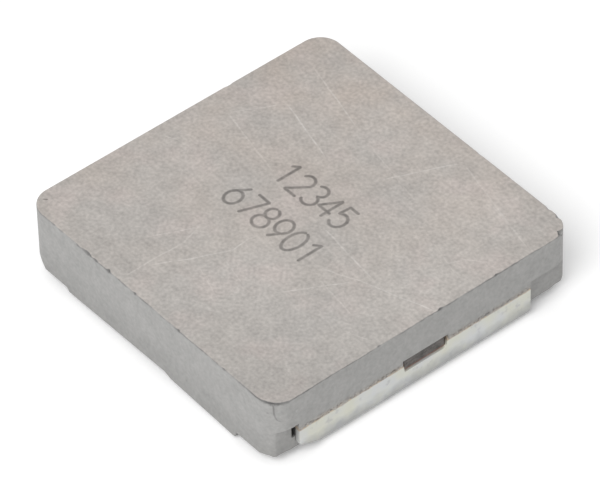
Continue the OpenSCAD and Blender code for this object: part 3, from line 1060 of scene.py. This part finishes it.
def tin_material():
    """Dull tin plating: bright above, painted grey shade at the lower bend, with mottles and a brown
    upper line.
    """
    material, tree, shader = shader_tree("tinned_sheet_look")
    place = object_place(tree)
    parts = put(tree, "ShaderNodeSeparateXYZ", inputs={0: place})
    height = parts.outputs[2]
    patches = spread(tree, cloud(tree, place, 1.3, 2.0), 0.42, 0.66, 0, 0.8)
    colour = mix(tree, patches, TIN_CREAM, TIN_COOL)
    smudge = spread(tree, cloud(tree, place, 0.45, 3.0, (0.02, 0, 0)), 0.60, 0.72, 0, 0.30)
    colour = mix(tree, smudge, colour, TIN_SMUDGE)
    # Painted shade: grey over the lower bend, with a ragged upper border
    uneven = spread(tree, cloud(tree, place, 0.8, 3.0, (0, 0, 0.03)), 0.3, 0.7, -0.16 * MM, 0.16 * MM)
    below = spread(tree, maths(tree, "ADD", height, uneven), 0.50 * MM, 1.10 * MM, 0.80, 0)
    colour = mix(tree, below, colour, TIN_BEND_SHADE)
    wavy = spread(tree, cloud(tree, place, 0.35, 3.0), 0, 1, -0.05 * MM, 0.05 * MM)
    ragged_height = maths(tree, "ADD", height, wavy)
    burnt = spread(tree, ragged_height, 1.665 * MM, 1.71 * MM, 0, 0.6)
    colour = mix(tree, burnt, colour, TIN_BURNT)
    aside = maths(tree, "ABSOLUTE", parts.outputs[1], 0.0)
    on_tongue = spread(tree, aside, (TONGUE_HALF + 0.01) * MM, (TONGUE_HALF + 0.03) * MM, 1, 0)
    on_tongue = maths(tree, "MULTIPLY", on_tongue, spread(tree, height, 1.69 * MM, 1.71 * MM, 0, 1))
    colour = mix(tree, on_tongue, colour, cut_end_colour(tree, place))
    tree.links.new(colour, shader.inputs["Base Color"])
    shader.inputs["Metallic"].default_value = 0.45
    rough = spread(tree, cloud(tree, place, 0.5, 3.0), 0.3, 0.7, 0.38, 0.52)
    tree.links.new(rough, shader.inputs["Roughness"])
    fine = bump(tree, cloud(tree, place, 0.07, 2.0), 0.003, 0.4)
    waves = bump(tree, cloud(tree, place, 0.9, 2.0), 0.02, 0.35, fine)
    tree.links.new(waves, shader.inputs["Normal"])
    return material


def cut_end_colour(tree, place):
    """Dark, streaky grey of the sheared ends in the notch."""
    streaks = spread(tree, cloud(tree, place, 0.22, 4.0), 0.35, 0.7, 0, 1)
    return mix(tree, streaks, CUT_DARK, CUT_PALE)


def copper_material():
    """Flat copper wire in brown enamel; its sheared end is dark, with a pink lower edge."""
    material, tree, shader = shader_tree("copper_wire_look")
    place = object_place(tree)
    parts = put(tree, "ShaderNodeSeparateXYZ", inputs={0: place})
    out = maths(tree, "ABSOLUTE", parts.outputs[0], 0.0)
    at_end = spread(tree, out, (END_X - 0.03) * MM, (END_X - 0.01) * MM, 0, 1)
    enamel = mix(tree, cloud(tree, place, 0.8), ENAMEL_DARK, ENAMEL_PALE)
    cut = cut_end_colour(tree, place)
    low_edge = spread(tree, parts.outputs[2], 1.43 * MM, 1.48 * MM, 0.6, 0)
    cut = mix(tree, low_edge, cut, COPPER_PINK)
    tree.links.new(mix(tree, at_end, enamel, cut), shader.inputs["Base Color"])
    shader.inputs["Metallic"].default_value = 0.55
    shader.inputs["Roughness"].default_value = 0.42
    tree.links.new(bump(tree, cloud(tree, place, 0.12, 4.0), 0.012, 0.6), shader.inputs["Normal"])
    return material


# ---- stage

# Light that the floor adds of its own where it is seen, which keeps the shadow faint
FLOOR_GLOW = 0.12
# Grey of the floor as it lights the object, and half its width in metres
FLOOR_BOUNCE = 0.60
FLOOR_REACH = 1.0
# Strength of the world's light on the object
AMBIENT = 0.60


def white_floor():
    """White floor that catches the object's soft shadow."""
    mesh = bpy.data.meshes.new("floor")
    signs = ((-1, -1), (1, -1), (1, 1), (-1, 1))
    corners = [(FLOOR_REACH * x, FLOOR_REACH * y, 0) for x, y in signs]
    mesh.from_pydata(corners, [], [(0, 1, 2, 3)])
    floor = bpy.data.objects.new("floor", mesh)
    bpy.context.scene.collection.objects.link(floor)
    material, tree, shader = shader_tree("floor_white")
    path = put(tree, "ShaderNodeLightPath")
    seen = maths(tree, "MAXIMUM", path.outputs["Is Camera Ray"], path.outputs["Is Glossy Ray"])
    paper = mix(tree, seen, (FLOOR_BOUNCE, FLOOR_BOUNCE, FLOOR_BOUNCE, 1), (1, 1, 1, 1))
    tree.links.new(paper, shader.inputs["Base Color"])
    shader.inputs["Emission Color"].default_value = (1, 1, 1, 1)
    tree.links.new(maths(tree, "MULTIPLY", seen, FLOOR_GLOW), shader.inputs["Emission Strength"])
    shader.inputs["Roughness"].default_value = 1.0
    shader.inputs["Specular IOR Level"].default_value = 0.0
    mesh.materials.append(material)


def white_world():
    """White to the camera and to reflections, dimmer as light."""
    world = bpy.data.worlds.new("studio")
    bpy.context.scene.world = world
    world.use_nodes = True
    tree = world.node_tree
    path = put(tree, "ShaderNodeLightPath")
    plain = maths(tree, "MAXIMUM", path.outputs["Is Camera Ray"], path.outputs["Is Glossy Ray"])
    plain = maths(tree, "MAXIMUM", plain, path.outputs["Is Transmission Ray"])
    strength = spread(tree, plain, 0, 1, AMBIENT, 1.0)
    tree.links.new(strength, tree.nodes["Background"].inputs["Strength"])
    tree.nodes["Background"].inputs["Color"].default_value = (1, 1, 1, 1)


# Direction from the object to the key lamp, how much of the light on a facing surface it gives, and
# its distance and diameter in metres
KEY_DIRECTION = (0.20, -0.44, 0.55)
KEY_SHARE = 0.62
KEY_DISTANCE = 0.35
KEY_SIZE = 0.24


def key_lamp():
    """Large soft lamp, high on the front left."""
    data = bpy.data.lights.new("key", "AREA")
    data.shape = "DISK"
    data.size = KEY_SIZE
    data.energy = KEY_SHARE * math.pi ** 2 * KEY_DISTANCE ** 2
    lamp = bpy.data.objects.new("key", data)
    towards = Vector(KEY_DIRECTION).normalized()
    lamp.location = towards * KEY_DISTANCE
    lamp.rotation_euler = towards.to_track_quat("Z", "Y").to_euler()
    bpy.context.scene.collection.objects.link(lamp)


# The photograph's view: azimuth, elevation and roll in degrees, distance and aim in metres, and the
# lens in millimetres
VIEW_AZIMUTH = 51.379
VIEW_ELEVATION = 43.898
VIEW_ROLL = -1.642
VIEW_DISTANCE = 0.261
AIM_RIGHT = 0.0000087
AIM_UP = -0.0013938
LENS = 354.96


def camera():
    """Long lens at the photograph's viewing angle."""
    az, el, roll = (math.radians(a) for a in (VIEW_AZIMUTH, VIEW_ELEVATION, VIEW_ROLL))
    back = Vector((math.sin(az) * math.cos(el), -math.cos(az) * math.cos(el), math.sin(el)))
    level = Vector((math.cos(az), math.sin(az), 0))
    upright = back.cross(level)
    middle = Vector((0, 0, TOP_Z * MM))
    place = middle + back * VIEW_DISTANCE
    target = middle + level * AIM_RIGHT + upright * AIM_UP
    away = (place - target).normalized()
    side = level * math.cos(roll) + upright * math.sin(roll)
    side = (side - away * side.dot(away)).normalized()
    up = away.cross(side)
    data = bpy.data.cameras.new("camera")
    data.lens = LENS
    data.clip_start = 0.01
    data.clip_end = 10
    made = bpy.data.objects.new("camera", data)
    turn = Matrix((side, up, away)).transposed().to_4x4()
    made.matrix_world = Matrix.Translation(place) @ turn
    bpy.context.scene.collection.objects.link(made)
    bpy.context.scene.camera = made


# ---- the object

def build_object():
    """All pieces with their materials."""
    powder = powder_material()
    tin = tin_material()
    copper = copper_material()
    points, faces, tones = core_mesh()
    core = make_piece("powder_core_worn", points, faces, powder, "pressed_powder", tones)
    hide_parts("powder_core")
    terminal_piece("terminal_right_soft", "terminal_right", False, tin)
    terminal_piece("terminal_left_soft", "terminal_left", True, tin)
    lead_flash("lead_flash_right", False, 51, powder)
    lead_flash("lead_flash_left", True, 52, powder)
    counting_figures(powder)
    scratches(powder)
    corner_crack(powder)
    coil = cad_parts["coil_winding"]
    for holder in coil.material_slots:
        holder.material = copper


bpy.context.scene.view_settings.view_transform = "Standard"
camera()
white_floor()
white_world()
key_lamp()
build_object()
